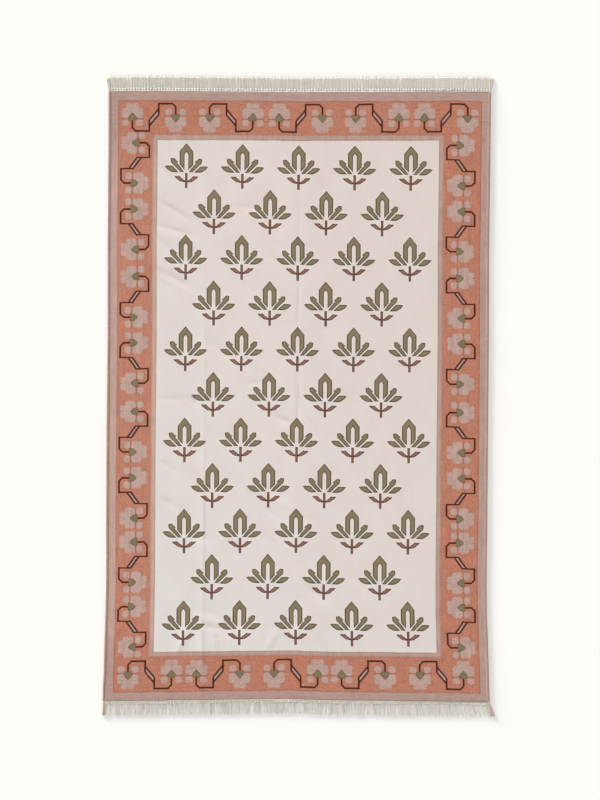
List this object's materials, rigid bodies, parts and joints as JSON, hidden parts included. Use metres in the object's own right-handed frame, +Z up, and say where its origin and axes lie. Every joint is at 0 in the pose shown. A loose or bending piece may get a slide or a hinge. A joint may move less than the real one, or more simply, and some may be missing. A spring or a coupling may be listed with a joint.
{
  "type": "dhurrie rug",
  "caption": "Flat-woven cotton dhurrie rug, laid flat: leaf sprigs on an ivory field, flower-vine border, corded sides and knotted fringe at both ends.",
  "frame": {"origin": "under the middle of the rug's box with its fringe, on the surface that the rug lies on", "axes": "+Z up out of the face, +Y along the length towards the picture's top end, +X across the width towards the picture's right side"},
  "size_m": [1.5696, 2.5614, 0.0074],
  "materials": {
    "woven_cotton": "matt weft-faced cotton weave, ivory field with terracotta and rose border bands",
    "rose_cord": "matt overcast cotton cord",
    "ivory_warp": "matt undyed cotton yarn"
  },
  "bodies": {
    "root": {"cloth": "woven_cotton", "side_cord_left": "rose_cord", "side_cord_right": "rose_cord", "fringe_top": "ivory_warp", "fringe_bottom": "ivory_warp"}
  },
  "joints": []
}
